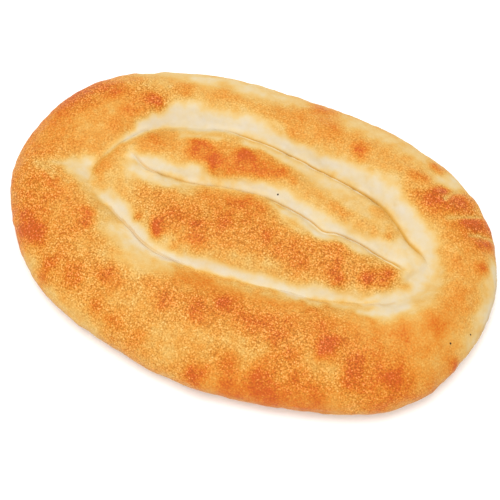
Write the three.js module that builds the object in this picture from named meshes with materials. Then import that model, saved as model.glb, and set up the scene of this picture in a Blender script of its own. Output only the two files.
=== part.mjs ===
// Matnakash: an oval leavened flat loaf, marked with wet fingertips before it is baked.
// One closed finger groove parts a broad outer ring from the middle, and a second groove parts
// the middle into two long strips. The dough swells on both sides of a groove until the two
// sides meet in a sharp fold. The loaf is one solid piece.
// Millimetres, +Z up. The loaf lies on z = 0 with its length along X, and the origin is under
// the middle of its box.
import * as THREE from "three";
import { ParametricGeometry } from "three/addons/geometries/ParametricGeometry.js";
import { mergeVertices } from "three/addons/utils/BufferGeometryUtils.js";

// Driving dimensions of the loaf
const LENGTH = 328;
const WIDTH = 221;
const RING_HEIGHT = 35.5; // crest of the outer ring
const STRIP_HEIGHT = 31; // crest of the two strips in the middle
const EDGE_HEIGHT = 12; // height at which the loaf is widest
const SHOULDER = 44; // how far in from the edge the ring reaches its crest
const UNDERCUT = 10; // how far the foot lies in from the widest line

// How full each corner of the oval is: 2 is an ellipse, and more is squarer
const NEAR_LEFT_FULLNESS = 1.83;
const NEAR_RIGHT_FULLNESS = 2.4;
const FAR_LEFT_FULLNESS = 2.42;
const FAR_RIGHT_FULLNESS = 2.53;

// Waves of the hand-shaped edge: how many go round the loaf, and their size as a share of its radius
const EDGE_WAVES = [
  { count: 3, size: 0.003, phase: -1.3 },
  { count: 4, size: 0.003, phase: 1.7 },
  { count: 5, size: 0.004, phase: -1.35 },
  { count: 7, size: 0.003, phase: -1.8 },
  { count: 8, size: 0.006, phase: -0.45 },
  { count: 9, size: 0.003, phase: 0.9 },
];

// The closed groove, clockwise from its right-hand end, and the groove between the strips
const LOOP_POINTS = [
  [123, 9], [113, -11], [100, -21], [80, -28.5], [61, -34.5], [37, -36.5], [12, -40], [-14, -42],
  [-42, -42.5], [-58, -37], [-67, -31.5], [-89, -21.5], [-105, -12], [-108, 2], [-97, 27], [-90, 39],
  [-77, 50], [-52, 58.5], [-8, 60], [22, 57.5], [60, 50.5], [77, 44], [90, 35], [103, 24.5], [117, 18],
];
const MIDDLE_POINTS = [
  [110, 4.5], [90, 10], [75, 14], [62, 15.5], [54, 14.5], [48, 12.5], [40, 16.5], [8, 22.5],
  [-20, 21.5], [-54, 14.5], [-76, 14.5], [-92, 20.5],
];
const LOOP_DEPTH = 8.5;
const LOOP_REACH = 22; // how far from its fold a groove is felt
const LOOP_LEFT_SHARE = 0.53; // share of the loop before the place that the middle groove points at
const MIDDLE_DEPTH = 7.5;
const MIDDLE_REACH = 17;
const LIP_SHARE = 0.4; // share of a groove's depth that lies in the lips of its fold
const LIP_REACH = 9;
const LEAN = 0.6; // share by which a fold's far lip is longer than its reach, and its near lip shorter

// Towards the left-hand end the grooves are tight, and towards the right-hand end shallow and wide
const LEFT_END = { start: -72, end: -108, depth: 0.5, reach: 0.6 };
const RIGHT_END = { start: 80, end: 122, depth: 0.62, reach: 1.25 };

// Stretches where the closed groove has no sharp fold: round its right-hand end, where it flattens into
// a saddle, at the left of its far side, along its near side, and past its left-hand end
const SOFT_STRETCHES = [
  { ends: [[112, -14], [122, 2]], reach: 16, softness: 9 },
  { ends: [[-80, 49], [-60, 56]], reach: 14, softness: 4 },
  { ends: [[-15, -42], [100, -22]], reach: 18, softness: 3 },
  { ends: [[-106, -10], [-95, -18]], reach: 12, softness: 3 },
];

// At both ends the groove between the strips runs out, so that they join
const STRIPS_JOIN = { leftEnd: -92, leftStart: -80, rightStart: 92, rightEnd: 112, depth: 0.25 };

// The oval inside which the dough has the strips' height rather than the ring's
const STRIPS_CENTRE = [5, 13];
const STRIPS_HALF_LENGTH = 116;
const STRIPS_HALF_WIDTH = 52;
const STRIPS_BLEND = 0.3;

// Soft hollows where the dough was pulled or pleated: place, turn of the longer way, sizes and depth
const SOFT_HOLLOWS = [
  { x: -124, y: 3, turn: 0, halfLength: 20, halfWidth: 11, depth: 5 },
  { x: -76, y: -40, turn: 0, halfLength: 30, halfWidth: 14, depth: 3 },
  { x: 117, y: 4, turn: 1.57, halfLength: 24, halfWidth: 16, depth: 4 },
  { x: 119, y: 78, turn: 1.0, halfLength: 17, halfWidth: 6.5, depth: 3 },
  { x: 133, y: 62, turn: 0.95, halfLength: 14, halfWidth: 5, depth: 2.5 },
  { x: 145, y: 49, turn: 0.8, halfLength: 12, halfWidth: 5, depth: 2.5 },
];

// Uneven rise of the dough: gentle waves of the crust, each with its own length and turn
const SWELLS = [
  { height: 0.9, length: 92, turn: 0.5, phase: 0.6 },
  { height: 0.8, length: 67, turn: 2.1, phase: 2.4 },
  { height: 0.6, length: 49, turn: 1.2, phase: 4.1 },
];

// Fineness of the faceted surface
const AROUND = 160;
const STRIP_ROWS = 14;
const RING_ROWS = 15;
const UNDER_ROWS = 4;
const ROWS = STRIP_ROWS + RING_ROWS + UNDER_ROWS + 1;
const GROOVE_SAMPLES = 240;
const ROW_CROWDING = 0.8; // 0 spaces the rows evenly, 1 crowds them at the folds and the edge
const WELD = 1e-3;

const CRUST_COLOUR = 0xe39a45;
const CRUST_ROUGHNESS = 0.6;

const HALF_LENGTH = LENGTH / 2;
const HALF_WIDTH = WIDTH / 2;
const { lerp, smoothstep } = THREE.MathUtils;

// Distance from the middle to the edge in a direction, on axes scaled by the half length and half width.
function edgeReach(direction) {
  const c = Math.cos(direction);
  const s = Math.sin(direction);
  const near = lerp(NEAR_LEFT_FULLNESS, NEAR_RIGHT_FULLNESS, (1 + c) / 2);
  const far = lerp(FAR_LEFT_FULLNESS, FAR_RIGHT_FULLNESS, (1 + c) / 2);
  const fullness = lerp(near, far, (1 + s) / 2);
  const oval = (Math.abs(c) ** fullness + Math.abs(s) ** fullness) ** (-1 / fullness);
  const ripple = EDGE_WAVES.reduce((sum, wave) => {
    return sum + wave.size * Math.cos(wave.count * direction + wave.phase);
  }, 0);
  return oval * (1 + ripple);
}

// The loaf's widest line seen from above, clockwise from its right-hand end.
class LoafEdge extends THREE.Curve {
  getPoint(t, target = new THREE.Vector2()) {
    const direction = -2 * Math.PI * t;
    const reach = edgeReach(direction);
    return target.set(
      HALF_LENGTH * reach * Math.cos(direction),
      HALF_WIDTH * reach * Math.sin(direction),
    );
  }
}

function grooveCurve(points, closed) {
  const corners = points.map(([x, y]) => new THREE.Vector3(x, y, 0));
  return new THREE.CatmullRomCurve3(corners, closed, "centripetal");
}

const edge = new LoafEdge();
const loop = grooveCurve(LOOP_POINTS, true);
const middle = grooveCurve(MIDDLE_POINTS, false);
const loopPath = loop.getSpacedPoints(GROOVE_SAMPLES);
const middlePath = middle.getSpacedPoints(GROOVE_SAMPLES);
const softStretches = SOFT_STRETCHES.map(({ ends, reach, softness }) => {
  return { path: ends.map(([x, y]) => new THREE.Vector3(x, y, 0)), reach, softness };
});

// How far a place is from a groove's fold, and whether it lies beyond it, from -1 for near to 1 for far.
function placeFromFold(x, y, path) {
  const here = new THREE.Vector3(x, y, 0);
  const nearest = new THREE.Vector3();
  const piece = new THREE.Line3();
  let distance = Infinity;
  let farSide = 0;
  for (let i = 1; i < path.length; i++) {
    piece.set(path[i - 1], path[i]).closestPointToPoint(here, true, nearest);
    const toPiece = nearest.distanceTo(here);
    if (toPiece >= distance) continue;
    distance = toPiece;
    farSide = toPiece > 0 ? (y - nearest.y) / toPiece : 0;
  }
  return { distance, farSide };
}

// Two rounded swellings that meet in a sharp fold: 1 at the fold, 0 at the groove's reach. The fingers
// lean one way, so the fold's far lip is long and its near lip steep. Softness rounds the fold out.
function foldProfile({ distance, farSide }, reach, softness) {
  const rounded = Math.hypot(distance, softness) - softness;
  const valley = Math.max(0, 1 - rounded / reach) ** 2;
  const lip = Math.max(0, 1 - rounded / (LIP_REACH * (1 + LEAN * farSide))) ** 2;
  return lerp(valley, lip, LIP_SHARE);
}

// How much a groove's depth and reach are scaled at a place along the loaf.
function grooveScale(x, quality) {
  const toLeft = smoothstep(-x, -LEFT_END.start, -LEFT_END.end);
  const toRight = smoothstep(x, RIGHT_END.start, RIGHT_END.end);
  return lerp(1, LEFT_END[quality], toLeft) * lerp(1, RIGHT_END[quality], toRight);
}

function loopSoftness(x, y) {
  const ofStretches = softStretches.map(({ path, reach, softness }) => {
    const { distance } = placeFromFold(x, y, path);
    return softness * (1 - smoothstep(distance, reach / 2, reach));
  });
  return Math.max(...ofStretches);
}

function grooveDepth(x, y) {
  const depth = grooveScale(x, "depth");
  const reach = grooveScale(x, "reach");
  const ofLoop = foldProfile(placeFromFold(x, y, loopPath), LOOP_REACH * reach, loopSoftness(x, y));
  const ofMiddle = foldProfile(placeFromFold(x, y, middlePath), MIDDLE_REACH * reach, 0);
  const pastLeft = smoothstep(x, STRIPS_JOIN.leftEnd, STRIPS_JOIN.leftStart);
  const beforeRight = 1 - smoothstep(x, STRIPS_JOIN.rightStart, STRIPS_JOIN.rightEnd);
  const middleDepth = MIDDLE_DEPTH * lerp(STRIPS_JOIN.depth, 1, pastLeft * beforeRight);
  return depth * Math.max(LOOP_DEPTH * ofLoop, middleDepth * ofMiddle);
}

function hollowDepth(x, y) {
  return SOFT_HOLLOWS.reduce((sum, hollow) => {
    const c = Math.cos(hollow.turn);
    const s = Math.sin(hollow.turn);
    const along = ((x - hollow.x) * c + (y - hollow.y) * s) / hollow.halfLength;
    const across = ((y - hollow.y) * c - (x - hollow.x) * s) / hollow.halfWidth;
    return sum + hollow.depth * Math.exp(-along * along - across * across);
  }, 0);
}

function swellHeight(x, y) {
  return SWELLS.reduce((sum, swell) => {
    const along = x * Math.cos(swell.turn) + y * Math.sin(swell.turn);
    return sum + swell.height * Math.sin((2 * Math.PI * along) / swell.length + swell.phase);
  }, 0);
}

// Height of the crust over a point of the plan.
function crustHeight(x, y) {
  const fromMiddle = Math.hypot(x / HALF_LENGTH, y / HALF_WIDTH);
  const reach = edgeReach(Math.atan2(y / HALF_WIDTH, x / HALF_LENGTH));
  const share = Math.min(fromMiddle / reach, 1);
  const toEdge = share > 0 ? (Math.hypot(x, y) * (1 - share)) / share : HALF_WIDTH;
  const rise = Math.min(toEdge / SHOULDER, 1);
  const dome = Math.sqrt(1 - (1 - rise) ** 2);
  const [stripsX, stripsY] = STRIPS_CENTRE;
  const fromStrips = Math.hypot((x - stripsX) / STRIPS_HALF_LENGTH, (y - stripsY) / STRIPS_HALF_WIDTH);
  const inRing = smoothstep(fromStrips, 1 - STRIPS_BLEND, 1 + STRIPS_BLEND);
  const crest = lerp(STRIP_HEIGHT, RING_HEIGHT, inRing) + swellHeight(x, y);
  return EDGE_HEIGHT + dome * (crest - hollowDepth(x, y) - grooveDepth(x, y) - EDGE_HEIGHT);
}

function crowdedAtEnds(share, crowding) {
  return lerp(share, (1 - Math.cos(Math.PI * share)) / 2, crowding);
}

// The lines that the surface is stretched between: the fold of the middle groove and a line along
// the base, each met from both sides, and between them the fold of the loop and the widest line.
const HALF_AROUND = AROUND / 2;
const columns = Array.from({ length: AROUND }, (_, column) => {
  const round = (column + 0.5) / AROUND;
  const onNearSide = column < HALF_AROUND;
  const roundLoop = onNearSide
    ? lerp(0, LOOP_LEFT_SHARE, 2 * round)
    : lerp(LOOP_LEFT_SHARE, 1, 2 * round - 1);
  const along = (onNearSide ? column : AROUND - 1 - column) / (HALF_AROUND - 1);
  return {
    middleFold: middle.getPointAt(crowdedAtEnds(along, 1)),
    loopFold: loop.getPointAt(roundLoop),
    widest: edge.getPoint(round),
    baseLine: new THREE.Vector2(lerp(HALF_LENGTH, -HALF_LENGTH, along) / 2, 0),
  };
});

function between(from, to, share, target) {
  const x = lerp(from.x, to.x, share);
  const y = lerp(from.y, to.y, share);
  return target.set(x, y, crustHeight(x, y));
}

// A point of the loaf's skin: u runs round the loaf, and v from the middle fold over the edge and
// under to the base.
function skinPoint(u, v, target) {
  const { middleFold, loopFold, widest, baseLine } = columns[Math.round(u * AROUND) % AROUND];
  const row = Math.round(v * ROWS);
  if (row <= STRIP_ROWS) {
    return between(middleFold, loopFold, crowdedAtEnds(row / STRIP_ROWS, ROW_CROWDING), target);
  }
  const ringRow = row - STRIP_ROWS;
  if (ringRow < RING_ROWS) {
    return between(loopFold, widest, crowdedAtEnds(ringRow / RING_ROWS, ROW_CROWDING), target);
  }
  const underRow = ringRow - RING_ROWS;
  if (underRow > UNDER_ROWS) return target.set(baseLine.x, baseLine.y, 0);
  const turn = ((Math.PI / 2) * underRow) / UNDER_ROWS;
  const inset = UNDERCUT * (1 - Math.cos(turn));
  const shrink = 1 - inset / Math.hypot(widest.x, widest.y);
  const height = underRow === UNDER_ROWS ? 0 : EDGE_HEIGHT * (1 - Math.sin(turn));
  return target.set(widest.x * shrink, widest.y * shrink, height);
}

// Where the two sides meet at the end of a line, a facet has shrunk to nothing and is dropped.
function dropEmptyFacets(geometry) {
  const corners = geometry.index.array;
  const kept = [];
  for (let i = 0; i < corners.length; i += 3) {
    const [a, b, c] = corners.slice(i, i + 3);
    if (a !== b && b !== c && c !== a) kept.push(a, b, c);
  }
  geometry.setIndex(kept);
}

// The wavy edge moves the box a little, so the loaf is set back over the origin.
function setOverOrigin(geometry) {
  geometry.computeBoundingBox();
  const middleOfBox = geometry.boundingBox.getCenter(new THREE.Vector3());
  geometry.translate(-middleOfBox.x, -middleOfBox.y, 0);
}

function loafGeometry() {
  const skin = new ParametricGeometry(skinPoint, AROUND, ROWS);
  skin.deleteAttribute("normal");
  skin.deleteAttribute("uv");
  const welded = mergeVertices(skin, WELD);
  dropEmptyFacets(welded);
  setOverOrigin(welded);
  welded.computeVertexNormals();
  return welded;
}

const crust = new THREE.MeshStandardMaterial({
  color: CRUST_COLOUR,
  roughness: CRUST_ROUGHNESS,
  metalness: 0,
});
const loaf = new THREE.Mesh(loafGeometry(), crust);
loaf.name = "loaf";

const matnakash = new THREE.Group();
matnakash.add(loaf);

export default matnakash;
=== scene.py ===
import math

import bpy
import numpy as np
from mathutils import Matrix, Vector, noise
from mathutils.kdtree import KDTree


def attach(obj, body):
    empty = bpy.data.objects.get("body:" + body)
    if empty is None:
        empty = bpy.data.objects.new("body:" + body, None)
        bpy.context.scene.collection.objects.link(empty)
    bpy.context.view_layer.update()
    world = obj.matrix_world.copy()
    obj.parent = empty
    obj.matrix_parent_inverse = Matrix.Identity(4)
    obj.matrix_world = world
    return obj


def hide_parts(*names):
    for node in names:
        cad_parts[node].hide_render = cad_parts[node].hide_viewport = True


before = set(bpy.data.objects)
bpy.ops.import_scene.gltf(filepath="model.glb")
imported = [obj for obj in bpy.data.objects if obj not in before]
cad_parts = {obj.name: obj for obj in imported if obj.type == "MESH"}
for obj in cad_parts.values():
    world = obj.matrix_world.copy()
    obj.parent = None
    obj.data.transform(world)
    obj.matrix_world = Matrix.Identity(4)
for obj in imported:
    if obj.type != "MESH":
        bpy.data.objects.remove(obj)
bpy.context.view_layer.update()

# The loaf: one piece of leavened wheat dough, pulled into an oval and grooved with wet fingertips.
# Its skin starts as the welded solid, keeps the folds sharp and is rounded off everywhere else, and
# then swells and blisters as in the oven.
MM = 0.001
FOLD_ANGLE = 48
WELD = 0.002
ROUNDINGS = 2
FOOT_HEIGHT = 1.0
SKIN_HEIGHT = 7.0
SWELLING_HEIGHT = 2.2
SWELLING_GRAIN = 17
BLISTER_HEIGHT = 0.7
BLISTER_GRAIN = 4.5

loaf = bpy.data.objects.new("baked_loaf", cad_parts["loaf"].data.copy())
bpy.context.scene.collection.objects.link(loaf)
loaf.data.materials.clear()
bpy.ops.object.select_all(action="DESELECT")
bpy.context.view_layer.objects.active = loaf
loaf.select_set(True)

bpy.ops.object.mode_set(mode="EDIT")
bpy.ops.mesh.select_all(action="SELECT")
bpy.ops.mesh.remove_doubles(threshold=WELD * MM)
bpy.ops.mesh.tris_convert_to_quads(face_threshold=math.pi, shape_threshold=math.pi)
bpy.ops.mesh.select_all(action="DESELECT")
bpy.ops.mesh.select_mode(type="EDGE")
bpy.ops.mesh.edges_select_sharp(sharpness=math.radians(FOLD_ANGLE))
bpy.ops.transform.edge_crease(value=1)
bpy.ops.object.vertex_group_add()
bpy.ops.object.vertex_group_assign()
bpy.ops.object.mode_set(mode="OBJECT")
loaf.vertex_groups.active.name = "fold"
bpy.ops.object.shade_smooth()

rounding = loaf.modifiers.new("rounding", "SUBSURF")
rounding.levels = ROUNDINGS
rounding.render_levels = ROUNDINGS
bpy.ops.object.modifier_apply(modifier="rounding")


def rows_of(piece, name):
    """What the piece's points hold under that name, such as their places: a row of three for each."""
    flat = np.empty(len(piece.data.vertices) * 3)
    piece.data.vertices.foreach_get(name, flat)
    return flat.reshape(-1, 3)


def ease(values, start, end):
    """0 at the start, 1 at the end, and smooth between."""
    share = np.clip((values - start) / (end - start), 0, 1)
    return share * share * (3 - 2 * share)


def add_weights(piece, name, weights, steps=20):
    """A vertex group of these weights, in steps."""
    group = piece.vertex_groups.new(name=name)
    stepped = np.round(np.asarray(weights) * steps)
    for step in range(1, steps + 1):
        group.add(np.flatnonzero(stepped == step).tolist(), step / steps, "REPLACE")


def raise_skin(piece, name, height, weights, grain=None):
    """Raises the skin by a height, or by clouds of a grain up and down: millimetres, times the weights."""
    add_weights(piece, name, weights)
    push = piece.modifiers.new(name, "DISPLACE")
    push.strength = height * MM
    push.mid_level = 0
    push.vertex_group = name
    if grain:
        push.texture = bpy.data.textures.new(name, "CLOUDS")
        push.texture.noise_scale = grain * MM
        push.texture_coords = "LOCAL"
        push.mid_level = 0.5
    bpy.ops.object.modifier_apply(modifier=name)


crust_share = ease(rows_of(loaf, "co")[:, 2] / MM, FOOT_HEIGHT, SKIN_HEIGHT)
raise_skin(loaf, "swelling", SWELLING_HEIGHT, crust_share, SWELLING_GRAIN)
raise_skin(loaf, "blisters", BLISTER_HEIGHT, crust_share, BLISTER_GRAIN)

# How far each point of the skin is from the nearest fold, in millimetres.
FULL_WEIGHT = 0.99
fold_group = loaf.vertex_groups["fold"].index
fold_points = [
    vertex.co.copy()
    for vertex in loaf.data.vertices
    if any(part.group == fold_group and part.weight > FULL_WEIGHT for part in vertex.groups)
]
fold_tree = KDTree(len(fold_points))
for index, place in enumerate(fold_points):
    fold_tree.insert(place, index)
fold_tree.balance()
nearest_fold = np.array([fold_tree.find(vertex.co)[0] for vertex in loaf.data.vertices]) / MM

points = rows_of(loaf, "co") / MM
plan = points[:, :2]
from_fold = np.linalg.norm(points - nearest_fold, axis=1)

# How far the oven has browned the crust, from 0 for bare dough to 1 for scorched: dabs laid one over
# the other as with a brush, each a level, a radius and a path seen from above, in millimetres.
WANDER_GRAIN = 15
FINE_GRAIN = 5
FINE_SHARE = 0.4
WANDER_SEED = 3
noise.seed_set(WANDER_SEED)
wander = np.array([
    noise.noise_vector(Vector(place) / WANDER_GRAIN)
    + FINE_SHARE * noise.noise_vector(Vector(place) / FINE_GRAIN)
    for place in points
])


def from_path(path):
    """Distance of every point, seen from above, from a path of straight runs."""
    corners = [np.array(corner, float) for corner in path]
    nearest = np.full(len(plan), np.inf)
    for start, end in zip(corners, corners[1:] or corners):
        run = end - start
        along = np.clip((plan - start) @ run / max(run @ run, 1e-9), 0, 1)
        offset = plan - start - along[:, None] * run
        nearest = np.minimum(nearest, np.hypot(offset[:, 0], offset[:, 1]))
    return nearest


def bell(distance, width, middle=0):
    """1 at the middle distance, and fading away to both sides of it."""
    return np.exp(-((distance - middle) / width) ** 2)


RAGGEDNESS = 0.35
DRIFT = 0.2


def dab(radius, path):
    """How far a brush of that radius, drawn along the path, covers each point: 1 at its middle."""
    ragged = from_path(path) * (1 + RAGGEDNESS * wander[:, 0]) + DRIFT * radius * wander[:, 1]
    return bell(ragged, radius)


def cover(dabs):
    """How far any of these dabs covers each point."""
    return np.max([dab(radius, path) for *_, radius, path in dabs], axis=0)


WASHES = [
    (0.72, 22, [(-150, 5), (-148, 25), (-140, 45)]),
    (0.65, 20, [(-125, 30), (-112, 45)]),
    (0.69, 18, [(-130, 58), (-100, 62)]),
    (0.58, 16, [(-100, 76), (-80, 80), (-45, 84)]),
    (0.64, 18, [(5, 84), (25, 80)]),
    (0.58, 14, [(55, 80), (80, 72)]),
    (0.63, 20, [(110, 52), (130, 38), (140, 20)]),
    (0.61, 20, [(140, -5), (137, -35)]),
    (0.68, 14, [(132, -46)]),
    (0.69, 22, [(115, -62), (60, -62), (10, -62)]),
    (0.62, 18, [(75, -82), (30, -84)]),
    (0.74, 14, [(98, -72), (126, -66)]),
    (0.84, 9, [(84, -97), (60, -101), (30, -106)]),
    (0.68, 18, [(0, -60), (-30, -66)]),
    (0.62, 18, [(-50, -78), (-90, -80)]),
    (0.68, 20, [(-100, -62), (-105, -40)]),
    (0.75, 20, [(-130, -40), (-140, -25)]),
    (0.72, 14, [(-152, -10), (-150, 10)]),
    (0.60, 16, [(-85, 36), (-65, 36)]),
    (0.65, 16, [(-50, 38), (-5, 40)]),
    (0.53, 10, [(18, 41), (40, 34), (57, 28)]),
    (0.36, 9, [(35, 48), (62, 36), (84, 28)]),
    (0.67, 20, [(-48, -10), (0, -8), (45, -8), (90, -3)]),
    (0.50, 14, [(-100, 3), (-78, 0)]),
]
GOLDEN_HALOS = [
    (0.42, 10, [(-80, 57), (-70, 63), (-55, 66), (-30, 68)]),
    (0.44, 8, [(-30, 67), (-8, 66)]),
    (0.44, 6, [(-8, 66), (10, 62), (30, 61)]),
    (0.44, 9, [(30, 62), (56, 61), (73, 55)]),
    (0.42, 10, [(73, 55), (92, 43), (107, 32)]),
    (0.46, 9, [(-86, 19), (-60, 20), (-40, 24), (-10, 28), (10, 28)]),
    (0.42, 10, [(10, 28), (40, 22), (60, 20), (100, 14)]),
    (0.44, 10, [(-92, -15), (-70, -25), (-56, -34)]),
    (0.44, 8, [(-30, -38), (0, -35), (30, -31), (60, -27), (90, -19)]),
    (0.44, 17, [(112, -14), (116, 8)]),
    (0.42, 10, [(-136, -9), (-126, -7), (-112, -4)]),
]
PALE_GROOVES = [
    (0.28, 2.5, [(-106, 8), (-104, 14), (-100, 25)]),
    (0.08, 3, [(-97.5, 28), (-90.5, 40)]),
    (0.09, 3.8, [(-92, 41), (-85, 50)]),
    (0.08, 5, [(-85, 51), (-76, 56)]),
    (0.07, 8, [(-74, 58), (-66, 60)]),
    (0.07, 10, [(-62, 61), (-52, 61)]),
    (0.07, 5.8, [(-50, 63), (-32, 67), (-20, 68), (-8, 67)]),
    (0.08, 4.2, [(-8, 67), (2, 64), (12, 62)]),
    (0.44, 3.5, [(-9, 71.5), (-4, 70)]),
    (0.09, 4, [(12, 62), (28, 61.5), (45, 61)]),
    (0.10, 5.5, [(45, 61), (56, 59.5), (66, 57)]),
    (0.09, 6, [(66, 57), (80, 51), (92, 43), (103, 34)]),
    (0.10, 5.5, [(103, 34), (112, 27)]),
    (0.26, 3.6, [(-64, 46), (-56, 47), (-46, 49), (-40, 51.5)]),
    (0.22, 4.5, [(-22, 54.5), (22, 53), (56, 47)]),
    (0.36, 4, [(56, 47), (68, 43)]),
    (0.48, 4, [(74, 40), (90, 30), (101, 22)]),
    (0.20, 7, [(-122, -5), (-112, -2)]),
    (0.15, 5, [(-112, 2), (-110, -7)]),
    (0.42, 4, [(-105, -15), (-99, -19)]),
    (0.43, 10, [(-90, -31), (-80, -38)]),
    (0.29, 10, [(-72, -40), (-58, -47), (-46, -51)]),
    (0.30, 5, [(-64, -39), (-54, -45), (-42, -47)]),
    (0.42, 5, [(-40, -49), (-33, -48)]),
    (0.72, 6, [(-24, -55), (-12, -52), (2, -49.5)]),
    (0.42, 4.5, [(-72, -57), (-62, -57)]),
    (0.38, 4.5, [(-56, -56), (-43, -54), (-31, -51)]),
    (0.58, 4, [(0, -46.5), (20, -45.5), (45, -45)]),
    (0.28, 2.5, [(-99, -15), (-94, -17)]),
    (0.08, 4.5, [(-91, -17), (-86, -19), (-78, -22)]),
    (0.08, 6, [(-78, -22), (-68, -29), (-57, -37)]),
    (0.09, 4.5, [(-57, -36), (-50, -39.5), (-43, -41), (-36, -42)]),
    (0.42, 2, [(-90, -22), (-83, -26), (-76, -30)]),
    (0.34, 4.5, [(-42, -33)]),
    (0.50, 3, [(0, -43.5), (12, -43), (37, -42), (50, -39.5)]),
    (0.08, 3.4, [(-38, -43), (-29, -40), (-20, -38), (-10, -36), (0, -36)]),
    (0.08, 3.2, [(0, -36), (10, -35), (20, -34.5)]),
    (0.08, 3.9, [(20, -34.5), (30, -33), (40, -33.5), (52, -34.5)]),
    (0.10, 3.5, [(40, -37), (49, -37.5)]),
    (0.08, 4.5, [(52, -32), (58, -29), (68, -27.5)]),
    (0.16, 3, [(68, -27.5), (76, -24), (86, -23)]),
    (0.18, 2.6, [(86, -23), (96, -18)]),
    (0.50, 4.5, [(0, -26), (30, -24), (50, -22)]),
    (0.38, 3.2, [(80, -19), (86, -22)]),
    (0.30, 5, [(72, -34), (80, -33)]),
    (0.62, 3.5, [(69, -40.5), (75, -39.5)]),
    (0.36, 3, [(58, -38.5), (63, -37.5)]),
    (0.20, 4.5, [(90, -27), (96, -25), (106, -20)]),
    (0.45, 3, [(84, -29.5), (88, -29)]),
    (0.22, 3, [(89, -34), (96, -32.5)]),
    (0.10, 4, [(98, -31), (109, -25), (116, -18)]),
    (0.34, 8, [(122, -8), (125, 6)]),
    (0.11, 8, [(105, -20), (110, -12), (112, 0), (114, 8)]),
    (0.14, 6.5, [(112, 10), (118, 18), (114, 25)]),
    (0.08, 4.5, [(-87, 17.5), (-74, 18)]),
    (0.07, 4.4, [(-74, 18), (-56, 20), (-44, 23)]),
    (0.06, 4.8, [(-45, 21), (-35, 23.5), (-25, 25), (-15, 26.3), (-4, 27)]),
    (0.07, 3.8, [(-4, 27), (6, 27), (16, 26)]),
    (0.08, 5.8, [(16, 26), (30, 22), (42, 18.5)]),
    (0.09, 5, [(42, 18.5), (52, 18), (62, 17), (72, 16), (82, 17), (92, 15), (103, 13)]),
    (0.16, 6, [(-82, 9), (-70, 9), (-60, 9)]),
    (0.20, 4, [(-60, 9), (-46, 13)]),
    (0.32, 3, [(-50, 10), (-44, 11)]),
    (0.46, 3, [(-38, 12.5)]),
    (0.42, 3.5, [(-48, 6), (-41, 8)]),
    (0.30, 2.5, [(10, 20), (20, 15)]),
    (0.20, 3.6, [(20, 15), (33, 13), (44, 9.5), (54, 9.5)]),
    (0.38, 3, [(21, 11), (28, 8), (36, 6)]),
    (0.28, 3.2, [(60, 11), (68, 10), (78, 9)]),
    (0.20, 8, [(98, 20), (108, 15)]),
    (0.44, 4, [(105, -5), (110, -3)]),
]
LIGHT_PATCHES = [
    (0.22, 10, [(-85, 91), (-50, 94), (-25, 98)]),
    (0.36, 8, [(-108, 86), (-85, 91)]),
    (0.34, 8, [(-20, 99), (0, 100)]),
    (0.34, 9, [(35, 97), (70, 95), (92, 87)]),
    (0.26, 7, [(103, 76), (110, 77), (116, 78)]),
    (0.20, 5, [(104, 82), (112, 82)]),
    (0.48, 4, [(93, 65), (102, 67)]),
    (0.13, 9, [(161, 32), (165, 12), (166, -4)]),
    (0.34, 7, [(164, -14), (159, -25)]),
    (0.46, 6, [(-124, -72), (-106, -86), (-89, -93), (-60, -101)]),
    (0.60, 6, [(137, -53), (147, -46)]),
    (0.60, 8, [(-125, 27), (-118, 24)]),
    (0.40, 6, [(122, -15), (126, -13)]),
    (0.48, 9, [(-92, 75)]),
    (0.50, 8, [(-112, 47)]),
    (0.55, 11, [(-20, -92), (5, -87)]),
    (0.52, 7, [(-10, -100)]),
    (0.56, 9, [(-55, -80), (-35, -80)]),
    (0.54, 8, [(22, -78), (32, -88), (43, -88)]),
    (0.54, 7, [(74, -75), (86, -75)]),
    (0.58, 7, [(-88, -56)]),
]
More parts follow.
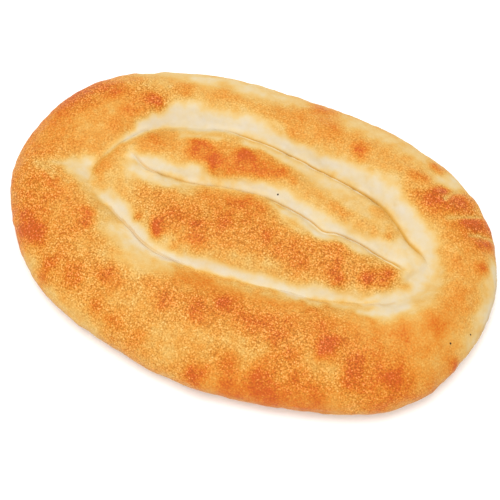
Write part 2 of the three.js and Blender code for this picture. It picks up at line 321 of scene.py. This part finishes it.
BROWNED = [
    (0.84, 7, [(-135, -47)]),
    (0.96, 8, [(-131, -56), (-124, -56)]),
    (0.76, 9, [(-130, -20)]),
    (0.85, 6, [(-96, -34), (-95, -39)]),
    (0.82, 5, [(-103, -71), (-106, -79)]),
    (0.82, 8, [(-86, -77)]),
    (0.83, 7, [(-65, -70)]),
    (0.76, 6, [(-65, -88)]),
    (0.77, 7, [(-51, -94)]),
    (0.70, 7, [(-32, -100)]),
    (0.77, 8, [(-27, -72)]),
    (0.85, 8, [(-4, -72)]),
    (0.80, 8, [(-45, -14)]),
    (0.84, 8, [(-30, -15), (-24, -22)]),
    (0.82, 8, [(-13, -6)]),
    (1.00, 4.5, [(-53, -23), (-50, -28)]),
    (0.78, 3.5, [(-66, -22)]),
    (0.60, 6, [(-70, -5)]),
    (0.68, 5, [(-105, 0), (-102, 9)]),
    (0.72, 6, [(-147, 0), (-142, 3)]),
    (0.84, 8, [(-146, 36), (-142, 50)]),
    (0.84, 7, [(-134, 62), (-120, 57)]),
    (0.76, 6, [(-106, 48)]),
    (0.70, 6, [(-107, 36)]),
    (0.94, 5.5, [(-93, 61), (-89, 61)]),
    (0.70, 7, [(-76, 78)]),
    (0.64, 9, [(-50, 82)]),
    (0.72, 7, [(-79, 33)]),
    (0.86, 5, [(-46, 44), (-53, 42), (-51, 36)]),
    (0.92, 6, [(-38, 36), (-35, 32)]),
    (0.82, 7, [(-24, 34), (-6, 40)]),
    (1.00, 5.5, [(-20, 46), (-13, 46)]),
    (0.82, 5, [(-4, 44), (2, 42)]),
    (0.62, 3.5, [(-12, 51), (-4, 49)]),
    (0.88, 5, [(8, 43)]),
    (0.68, 5, [(17, 39)]),
    (0.76, 6, [(-30, 8)]),
    (0.83, 7, [(-12, 9), (-5, 15)]),
    (0.76, 7, [(1, 0), (3, 8)]),
    (0.82, 7, [(16, -6)]),
    (0.78, 9, [(36, -10), (43, -15)]),
    (0.77, 6, [(61, 2)]),
    (0.87, 5.5, [(64, -12), (68, -16)]),
    (0.92, 6, [(86, -9)]),
    (0.80, 4.5, [(96, -7)]),
    (0.92, 5, [(97, -1)]),
    (0.50, 4, [(33, 33), (38, 31)]),
    (0.62, 4.5, [(46, 32), (56, 28)]),
    (0.54, 4, [(69, 28), (78, 25)]),
    (0.66, 3.5, [(88, 25)]),
    (0.95, 7, [(12, -60)]),
    (0.83, 8, [(26, -66), (46, -67)]),
    (0.97, 7, [(79, -60), (79, -65)]),
    (0.82, 7, [(73, -54)]),
    (0.89, 7.5, [(98, -66), (101, -76)]),
    (0.94, 7, [(117, -69), (126, -66)]),
    (0.74, 6, [(116, -77)]),
    (0.80, 5, [(116, -84), (122, -81)]),
    (0.74, 5, [(145, -57)]),
    (0.76, 6, [(109, -57)]),
    (0.80, 7, [(60, -78)]),
    (0.80, 7, [(70, -90), (82, -93)]),
    (0.90, 8, [(48, -95), (56, -98)]),
    (0.86, 6, [(25, -95)]),
    (0.90, 5.5, [(8, -106), (13, -105)]),
    (0.70, 6, [(140, -11), (144, 0)]),
    (0.82, 5.5, [(138, -25), (133, -24)]),
    (0.80, 6, [(119, -40)]),
    (0.92, 4, [(154.5, -39)]),
    (0.70, 7, [(25, 85)]),
    (0.77, 7, [(12, 100)]),
    (0.85, 6, [(50, 76)]),
    (0.78, 4.5, [(91, 71), (96, 71)]),
    (0.78, 4.5, [(99, 86), (102, 84)]),
    (0.70, 4, [(96, 57)]),
    (0.97, 7, [(105, 56), (110, 60)]),
    (0.90, 5, [(107, 63), (111, 67)]),
    (0.88, 6.5, [(118, 60), (124, 67)]),
    (0.93, 8, [(131, 51), (138, 55)]),
    (0.90, 6, [(142, 59)]),
    (0.88, 5.5, [(144, 41), (149, 46)]),
    (0.86, 4.5, [(150, 26)]),
    (0.66, 6, [(136, 25)]),
]
PLEATS = [
    (0.44, 1.8, [(113, 62), (115, 70), (121, 77)]),
    (0.46, 1.8, [(119, 49), (127, 55), (138, 64)]),
    (0.48, 1.5, [(136, 45), (142, 49), (150, 52)]),
    (0.46, 1.3, [(-145, -10), (-136, -14), (-127, -19)]),
    (0.50, 1.2, [(-141, -8), (-128, -15), (-117, -18)]),
]
MIDDLE_LEVEL = 0.60
CONTRAST = 1.22
browning = np.full(len(plan), MIDDLE_LEVEL)
for level, radius, path in WASHES + GOLDEN_HALOS + PALE_GROOVES + LIGHT_PATCHES + BROWNED + PLEATS:
    browning += (level - browning) * dab(radius, path)
browning += (CONTRAST - 1) * np.maximum(browning - MIDDLE_LEVEL, 0)

SIDE_LEVEL = 0.56
SIDE_SHARE = 0.6
SIDE_TOP = 14
SIDE_BOTTOM = 5
SIDE_WANDER = 2
in_side = 1 - ease(points[:, 2] + SIDE_WANDER * wander[:, 2], SIDE_BOTTOM, SIDE_TOP)
browning += (SIDE_LEVEL - browning) * SIDE_SHARE * in_side

# How coarse the crust's speckle is: boldest on the broad browned parts, and finer on light or smooth ones.
COARSE = [
    (34, [(-100, -60), (-40, -78), (85, -74)]),
    (22, [(-132, -38), (-142, -14)]),
    (14, [(-100, 66), (-84, 62)]),
    (10, [(-142, 44), (-126, 60)]),
    (14, [(104, 60), (122, 64), (138, 52)]),
    (20, [(-62, -12), (0, -8), (50, -6), (92, -5)]),
]
SMOOTH = [
    (7, [(-62, -55), (-30, -52), (0, -49)]),
    (5, [(0, -49), (30, -48), (55, -44)]),
    (18, [(98, -36), (120, -34), (140, -28)]),
    (8, [(20, -109), (60, -104), (95, -93)]),
]
FINE_SPECKLE = 0.46
LIGHT_LOSS = 0.35
SMOOTH_LOSS = 0.6
coarseness = FINE_SPECKLE + (1 - FINE_SPECKLE) * cover(COARSE)
coarseness *= (1 - LIGHT_LOSS * cover(LIGHT_PATCHES)) * (1 - SMOOTH_LOSS * cover(SMOOTH))

# The folds: a thin golden line along each, partly the crust's own colour and partly painted shade, darkest
# where the skin is folded hardest, and beside it on the near side a pale lip that is a painted highlight.
# The pale walls beside the folds are lightened with painted light, which lifts the shade that falls in the
# folds.
NEAR_FOLD = [(-42, -42.5), (-14, -42), (12, -40), (37, -36.5), (61, -34.5), (80, -28.5), (96, -23)]
LEFT_LINE_AND_SHADE = [(-107, -11), (-107, 1), (-104, 8), (-99, 19)]
NEAR_LINE_AND_SHADE = [
    (-43, -46), (-34, -44), (-22, -41), (1, -40), (22, -39), (42, -39), (52, -38), (69, -31), (82, -27),
    (88, -29), (94, -26), (107, -18),
]
PAINTED_LIGHT_SPOTS = [
    (4, [(-72, -30), (-56, -40), (-42, -43)]),
    (4, [(-88, 18), (-72, 13)]),
    (3, [(-50, 16), (-30, 19), (-12, 22), (2, 23)]),
]
FAR_LIMIT = 30
FAR_SLOPE = 0.16
NEAR_LIMIT = -8
FAR_FOLD_START = (-45, -20)
MIDDLE_FOLD_START = (-95, -80)
FOLD_END = (97, 107)
END_LEAN = 0.6
END_MIDDLE = 6
fold_x, fold_y = nearest_fold[:, 0], nearest_fold[:, 1]
below_fold = points[:, 1] < fold_y
past_middle = fold_y > FAR_LIMIT - FAR_SLOPE * fold_x
on_near_fold = fold_y < NEAR_LIMIT
before_end = 1 - ease(fold_x - END_LEAN * (fold_y - END_MIDDLE), *FOLD_END)
on_far_fold = past_middle * ease(fold_x, *FAR_FOLD_START) * before_end
on_middle_fold = ~past_middle * ~on_near_fold * ease(fold_x, *MIDDLE_FOLD_START) * before_end

FRINGE_LEVEL = 0.42
FRINGE_SHARE = 0.6
FRINGE_WIDTH = 2.2
LIP_HIGHLIGHT_LEVEL = 0.06
LIP_HIGHLIGHT_SHARE = 0.8
LIP_HIGHLIGHT_WIDTH = 0.9
LIP_HIGHLIGHT_OFFSET = 2
FAR_LIP_HIGHLIGHT_END = (55, 75)
MIDDLE_LIP_HIGHLIGHT_START = (2, 12)
browning += (FRINGE_LEVEL - browning) * FRINGE_SHARE * on_far_fold * bell(from_fold, FRINGE_WIDTH)
# The lip is a painted highlight: a thin pale band just below the far and middle folds, which is also
# lightened.
far_lip_highlight = on_far_fold * (1 - ease(fold_x, *FAR_LIP_HIGHLIGHT_END))
middle_lip_highlight = on_middle_fold * ease(fold_x, *MIDDLE_LIP_HIGHLIGHT_START)
lip_highlight = np.maximum(far_lip_highlight, middle_lip_highlight) * below_fold * bell(from_fold, LIP_HIGHLIGHT_WIDTH, LIP_HIGHLIGHT_OFFSET)
browning += (LIP_HIGHLIGHT_LEVEL - browning) * LIP_HIGHLIGHT_SHARE * lip_highlight

# Painted light on the walls beside the folds and on a few shaded spots, lifting the shade that falls there.
WALL_PAINTED_LIGHT = 0.25
WALL_WIDTH = 2
WALL_OFFSET = 3
NEAR_WALL_PAINTED_LIGHT = 0.5
NEAR_WALL_WIDTH = 3.5
PAINTED_LIGHT_SPOTS_SHARE = 0.6
wall_painted_light = WALL_PAINTED_LIGHT * ~below_fold * before_end * bell(from_fold, WALL_WIDTH, WALL_OFFSET)
near_wall_painted_light = NEAR_WALL_PAINTED_LIGHT * bell(from_path(NEAR_FOLD), NEAR_WALL_WIDTH)
lightening = np.max([lip_highlight, wall_painted_light, near_wall_painted_light, PAINTED_LIGHT_SPOTS_SHARE * cover(PAINTED_LIGHT_SPOTS)], axis=0)

# The crease line is partly the crust's own colour and partly painted shade in the bottom of each fold.
MIDDLE_STRENGTH = 0.6
FAINTER_BY = 0.25
FAINTER_FROM = (-50, -35)
STRONGER_BY = 0.5
STRONGER_FROM = (0, 12)
WIDER_BY = 0.4
WIDER_FROM = (40, 70)
LINE_BELOW = (0.2, 1)
LINE_ABOVE = (1, 2.6)
middle_strength = MIDDLE_STRENGTH - FAINTER_BY * ease(fold_x, *FAINTER_FROM)
middle_strength += STRONGER_BY * ease(fold_x, *STRONGER_FROM)
from_line = from_fold / (1 + WIDER_BY * on_far_fold * ease(fold_x, *WIDER_FROM))
off_line = np.where(below_fold, ease(from_line, *LINE_BELOW), ease(from_line, *LINE_ABOVE))
fold_line_and_shade = (on_far_fold + on_middle_fold * middle_strength) * (1 - off_line)

NEAR_CREASE_SHADE = 0.45
NEAR_CREASE_SHADE_REACH = 2
WEAKER_BY = 0.15
WEAKER_FROM = (-60, -35)
NEAR_STRENGTH = 0.3
NEAR_WIDTH = 0.9
LEFT_STRENGTH = 0.45
LEFT_WIDTH = 0.8
# The near and left folds get the same crease colour: partly their own, partly painted shade.
near_crease_shade = NEAR_CREASE_SHADE - WEAKER_BY * ease(fold_x, *WEAKER_FROM)
near_crease_shade *= on_near_fold * (from_fold < NEAR_CREASE_SHADE_REACH)
near_line_and_shade = NEAR_STRENGTH * bell(from_path(NEAR_LINE_AND_SHADE), NEAR_WIDTH)
left_line_and_shade = LEFT_STRENGTH * bell(from_path(LEFT_LINE_AND_SHADE), LEFT_WIDTH)
crease_line = np.max([fold_line_and_shade, near_crease_shade, near_line_and_shade, left_line_and_shade], axis=0)

# The dull skin of the underside, with painted shade in its colour on the steepest part of the sides, most of
# all on the far side.
UNDERSIDE_EDGE = (0.3, 2.5)
STEEP = (0.24, 0.46)
FAR_LEAN = 0.25
SIDE_SHADE_SHARE = 0.25
facing = rows_of(loaf, "normal")
steep_side_shade = 1 - ease(facing[:, 2] - FAR_LEAN * facing[:, 1], *STEEP)
underside = np.maximum(1 - ease(points[:, 2], *UNDERSIDE_EDGE), SIDE_SHADE_SHARE * steep_side_shade)

# The relief that goes with the colours: the bottoms of the folds are filled a little, the pleats are
# pressed in and the browned spots stand up. Where a groove runs out gently, the skin is smoothed.
VALLEY_FILL = 1.2
VALLEY_SHARE = 0.7
VALLEY_WIDTH = 3.5
NEAR_VALLEY_WIDTH = 4
PLEAT_DEPTH = 0.9
BROWNED_HEIGHT = 0.6
SOFTENING_SHARE = 0.5
SOFTENING_ROUNDS = 50
SOFTENED = [
    (7, [(104, 6), (113, 18)]),
    (7, [(-90, -20), (-70, -32), (-50, -42), (-38, -44)]),
    (7, [(-95, 20), (-84, 17), (-74, 14)]),
]
valley = VALLEY_SHARE * bell(from_fold, VALLEY_WIDTH)
near_valley = bell(from_path(NEAR_FOLD), NEAR_VALLEY_WIDTH)
raise_skin(loaf, "valleys", VALLEY_FILL, np.maximum(valley, near_valley) * crust_share)
raise_skin(loaf, "pleats", -PLEAT_DEPTH, cover(PLEATS) * crust_share)
raise_skin(loaf, "browned", BROWNED_HEIGHT, cover(BROWNED) * crust_share)
add_weights(loaf, "softened", cover(SOFTENED) * crust_share)
softening = loaf.modifiers.new("softening", "SMOOTH")
softening.factor = SOFTENING_SHARE
softening.iterations = SOFTENING_ROUNDS
softening.vertex_group = "softened"
bpy.ops.object.modifier_apply(modifier="softening")

layers = {
    "browning": browning,
    "coarseness": coarseness,
    "crease_line": crease_line,
    "lightening": lightening,
    "underside": underside,
}
for name, values in layers.items():
    layer = loaf.data.attributes.new(name, "FLOAT", "POINT")
    layer.data.foreach_set("value", np.clip(values, 0, 1).astype(np.float32))


class Shade:
    """A shader socket that can be added to, taken from and multiplied as a number can."""

    tree = None

    def __init__(self, socket):
        self.socket = socket

    @classmethod
    def node(cls, kind, settings, sockets, output=0):
        """A new node with its settings, and the values or links of its sockets. Gives one of its outputs."""
        made = cls.tree.nodes.new(kind)
        for name, value in settings.items():
            if name == "stops":
                ramp = made.color_ramp
                while len(ramp.elements) < len(value):
                    ramp.elements.new(0.5)
                for element, (place, colour) in zip(ramp.elements, value):
                    element.position = place
                    element.color = (*colour, 1)
            else:
                setattr(made, name, value)
        for name, value in sockets.items():
            if isinstance(value, Shade):
                cls.tree.links.new(value.socket, made.inputs[name])
            else:
                made.inputs[name].default_value = value
        return None if output is None else cls(made.outputs[output])

    @classmethod
    def maths(cls, operation, first, second):
        return cls.node("ShaderNodeMath", {"operation": operation}, {0: first, 1: second})

    def __add__(self, other):
        return Shade.maths("ADD", self, other)

    def __radd__(self, other):
        return Shade.maths("ADD", other, self)

    def __sub__(self, other):
        return Shade.maths("SUBTRACT", self, other)

    def __rsub__(self, other):
        return Shade.maths("SUBTRACT", other, self)

    def __mul__(self, other):
        return Shade.maths("MULTIPLY", self, other)

    def __rmul__(self, other):
        return Shade.maths("MULTIPLY", other, self)


def painted(name):
    """A value that is stored on the piece's points."""
    return Shade.node("ShaderNodeAttribute", {"attribute_name": name}, {}, "Fac")


def cloud(where, grain, detail, roughness=0.55):
    """Soft noise of that grain in millimetres, about 0.5 on average."""
    sockets = {"Vector": where, "Scale": 1 / (grain * MM), "Detail": detail, "Roughness": roughness}
    return Shade.node("ShaderNodeTexNoise", {}, sockets, "Fac")


def eased(value, start, end):
    """0 at the start, 1 at the end, and smooth between."""
    sockets = {"Value": value, "From Min": start, "From Max": end}
    return Shade.node("ShaderNodeMapRange", {"interpolation_type": "SMOOTHSTEP"}, sockets, "Result")


def blend(first, second, share):
    """One colour over another."""
    return Shade.node("ShaderNodeMix", {"data_type": "RGBA"}, {0: share, 6: first, 7: second}, 2)


# The crust's finish, from shader nodes alone: the browning picks its tone, and blotches and speckle break
# that up; the speckle holds painted glints on the tops of tiny blisters and painted shade between them. The
# creases with their painted shade, the floured skin of the underside with painted shade on the steep sides,
# painted light beside the folds and three tiny dark specks are laid over it.
CRUST_TONES = [
    (0.00, (0.552, 0.476, 0.352)),
    (0.15, (0.568, 0.456, 0.272)),
    (0.30, (0.580, 0.400, 0.158)),
    (0.45, (0.567, 0.325, 0.082)),
    (0.60, (0.562, 0.252, 0.041)),
    (0.75, (0.546, 0.190, 0.019)),
    (0.88, (0.510, 0.130, 0.008)),
    (1.00, (0.455, 0.080, 0.006)),
]
CREASE_AND_SHADE_COLOUR = (0.50, 0.26, 0.04, 1)
LIGHT_SPECKLE_AND_GLINT = (0.77, 0.42, 0.25, 1)
DARK_SPECKLE = (0.33, 0.10, 0.0, 1)
BASE_PALE = (0.42, 0.25, 0.11, 1)
BASE_BROWN = (0.25, 0.11, 0.035, 1)
FLOUR = (0.58, 0.52, 0.40, 1)
SPECK_COLOUR = (0.03, 0.014, 0.006, 1)
SPECKS = [(11, 27.5, 0.7), (148, -30.5, 0.7), (157.5, -18, 0.6)]
SPECK_EDGE = (0.6, 1.1)
BROWNED_TONES = (0.3, 0.85)
CRUSTED_TONES = (0.25, 0.6)
BLOTCH_SIZE = 8
BLOTCH_STRENGTH = 0.46
GRAIN_SIZE = 1.3
GRAIN_STRENGTH = 0.4
CELL_SIZE = 1.35
CELL_EDGE = (0.1, 0.65)
CELL_MIDDLE = 0.6
CELL_STRENGTH = 0.6
SPECKLE_SIZE = 1.05
SPECKLE_STRENGTH = 2.4
SPECKLE_TONE = 0.15
SPECKLE_GLINT_LIGHTNESS = 0.56
LIGHT_SPECKLE_SHARE = 0.25
DARK_SPECKLE_SHARE = 0.33
SPECKLE_EDGE = (0.05, 0.6)
PAINTED_FOLD_LIGHT_STRENGTH = 0.22
CREASE_AND_SHADE_SHARE = 0.9
BASE_SIZE = 14
BASE_EDGE = (0.4, 0.65)
FLOUR_SIZE = 5
FLOUR_EDGE = (0.52, 0.68)
FLOUR_SHARE = 0.6
BUMP_SIZE = 2.2
BUMP_HEIGHT = 0.35
BUMP_STRENGTH = 0.35
BUMP_BLISTERS = 0.7
DOUGH_ROUGHNESS = 0.62
BROWNED_GLOSS = 0.12
GRAIN_ROUGHNESS = 0.2
SHINE = 0.12

crust = bpy.data.materials.new("baked_crust")
crust.use_nodes = True
crust.node_tree.nodes.clear()
Shade.tree = crust.node_tree

where = Shade.node("ShaderNodeTexCoord", {}, {}, "Object")
browned = eased(painted("browning"), *BROWNED_TONES)
blotches = cloud(where, BLOTCH_SIZE, 3) - 0.5
grain = cloud(where, GRAIN_SIZE, 1, 0.6) - 0.5
cells = {"Vector": where, "Scale": 1 / (CELL_SIZE * MM)}
to_cell = Shade.node("ShaderNodeTexVoronoi", {}, cells, "Distance")
blisters = CELL_MIDDLE - eased(to_cell, *CELL_EDGE)
crusted = eased(painted("browning"), *CRUSTED_TONES) * painted("coarseness")
mottle = cloud(where, SPECKLE_SIZE, 1) - 0.5
# The speckle: the crust's own light and dark grains, with painted glints on tiny blister tops and painted
# shade between them.
speckle_and_glints = (blisters * CELL_STRENGTH + mottle * SPECKLE_STRENGTH) * crusted
tone = painted("browning") + blotches * BLOTCH_STRENGTH + grain * browned * GRAIN_STRENGTH
tone = tone - speckle_and_glints * SPECKLE_TONE
colour = Shade.node("ShaderNodeValToRGB", {"stops": CRUST_TONES}, {"Fac": tone}, "Color")
# Lighter with the speckle's painted glints, and where painted light lifts the shade beside the folds.
lightness = 1 + speckle_and_glints * SPECKLE_GLINT_LIGHTNESS + painted("lightening") * PAINTED_FOLD_LIGHT_STRENGTH
sockets = {0: colour, "Scale": lightness}
colour = Shade.node("ShaderNodeVectorMath", {"operation": "SCALE"}, sockets, "Vector")
colour = blend(colour, LIGHT_SPECKLE_AND_GLINT, eased(speckle_and_glints, *SPECKLE_EDGE) * LIGHT_SPECKLE_SHARE)
colour = blend(colour, DARK_SPECKLE, eased(0 - speckle_and_glints, *SPECKLE_EDGE) * DARK_SPECKLE_SHARE)
# The crease colour: the folds' own golden tone together with painted shade in them.
colour = blend(colour, CREASE_AND_SHADE_COLOUR, painted("crease_line") * CREASE_AND_SHADE_SHARE)
base = blend(BASE_PALE, BASE_BROWN, eased(cloud(where, BASE_SIZE, 4), *BASE_EDGE))
base = blend(base, FLOUR, eased(cloud(where, FLOUR_SIZE, 6, 0.7), *FLOUR_EDGE) * FLOUR_SHARE)
# The underside's own dull colour, and painted shade on the steepest sides.
colour = blend(colour, base, painted("underside"))
sockets = {0: where, 1: (1, 1, 0)}
seen_from_above = Shade.node("ShaderNodeVectorMath", {"operation": "MULTIPLY"}, sockets, "Vector")
for speck_x, speck_y, radius in SPECKS:
    sockets = {0: seen_from_above, 1: (speck_x * MM, speck_y * MM, 0)}
    reach = Shade.node("ShaderNodeVectorMath", {"operation": "DISTANCE"}, sockets, "Value")
    inner, outer = [share * radius * MM for share in SPECK_EDGE]
    colour = blend(colour, SPECK_COLOUR, 1 - eased(reach, inner, outer))

relief = cloud(where, BUMP_SIZE, 3, 0.6) + blisters * browned * BUMP_BLISTERS
bumps = {"Strength": BUMP_STRENGTH, "Distance": BUMP_HEIGHT * MM, "Height": relief}
normal = Shade.node("ShaderNodeBump", {}, bumps, "Normal")
roughness = DOUGH_ROUGHNESS - BROWNED_GLOSS * browned + grain * GRAIN_ROUGHNESS
finish = {"Base Color": colour, "Roughness": roughness, "Normal": normal, "Specular IOR Level": SHINE}
surface = Shade.node("ShaderNodeBsdfPrincipled", {}, finish, "BSDF")
Shade.node("ShaderNodeOutputMaterial", {}, {"Surface": surface}, None)
loaf.data.materials.append(crust)

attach(loaf, "root")
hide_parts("loaf")

# The table: a plain pale board with a dull finish, which isn't part of the loaf. It is one flat sheet
# under the loaf's base, and reaches past the picture on every side.
TABLE_SIZE = 6.0
TABLE_COLOUR = (0.97, 0.97, 0.97, 1)
TABLE_ROUGHNESS = 0.8
bpy.ops.object.select_all(action="DESELECT")
bpy.ops.mesh.primitive_plane_add(size=TABLE_SIZE)
table = bpy.context.active_object
table.name = "table"
board = bpy.data.materials.new("pale_board")
board.use_nodes = True
board.node_tree.nodes["Principled BSDF"].inputs["Base Color"].default_value = TABLE_COLOUR
board.node_tree.nodes["Principled BSDF"].inputs["Roughness"].default_value = TABLE_ROUGHNESS
table.data.materials.append(board)

# The light: an even white surround, a large soft lamp overhead, and a weaker one low at the near side.
# Each lamp is a name, a place in metres, a size and a power in watts, and it points at the loaf.
SURROUND = 1.0
LAMPS = [
    ("overhead_lamp", (-0.2, 0.18, 1.6), 1.3, 16.1),
    ("near_lamp", (0.1, -1.5, 0.8), 1.4, 7.5),
]
surround = bpy.data.worlds.new("surround")
surround.use_nodes = True
surround.node_tree.nodes["Background"].inputs["Color"].default_value = (1, 1, 1, 1)
surround.node_tree.nodes["Background"].inputs["Strength"].default_value = SURROUND
bpy.context.scene.world = surround
for name, place, size, power in LAMPS:
    bpy.ops.object.light_add(type="AREA", location=place)
    lamp = bpy.context.active_object
    lamp.name = name
    lamp.data.size = size
    lamp.data.energy = power
    lamp.rotation_mode = "QUATERNION"
    lamp.rotation_quaternion = (-Vector(place)).to_track_quat("-Z", "Y")
bpy.context.scene.view_settings.view_transform = "Standard"

# The camera: it looks down on the loaf from the near right, through a long lens. The shift sets the point
# it aims at, near the loaf's middle, on its place in the picture.
AZIMUTH = math.radians(22)
ELEVATION = math.radians(62)
DISTANCE = 0.9
LENS = 100
SENSOR = 36
AIM = Vector((7.4, -5.0, 15.0)) * MM
AIM_PIXEL = (254, 243)
PICTURE = 500
toward = Vector((
    math.sin(AZIMUTH) * math.cos(ELEVATION),
    -math.cos(AZIMUTH) * math.cos(ELEVATION),
    math.sin(ELEVATION),
))
bpy.ops.object.camera_add(location=AIM + toward * DISTANCE)
camera = bpy.context.active_object
camera.name = "camera"
camera.rotation_mode = "QUATERNION"
camera.rotation_quaternion = (-toward).to_track_quat("-Z", "Y")
camera.data.lens = LENS
camera.data.sensor_width = SENSOR
camera.data.shift_x = (PICTURE / 2 - AIM_PIXEL[0]) / PICTURE
camera.data.shift_y = (AIM_PIXEL[1] - PICTURE / 2) / PICTURE
bpy.context.scene.camera = camera
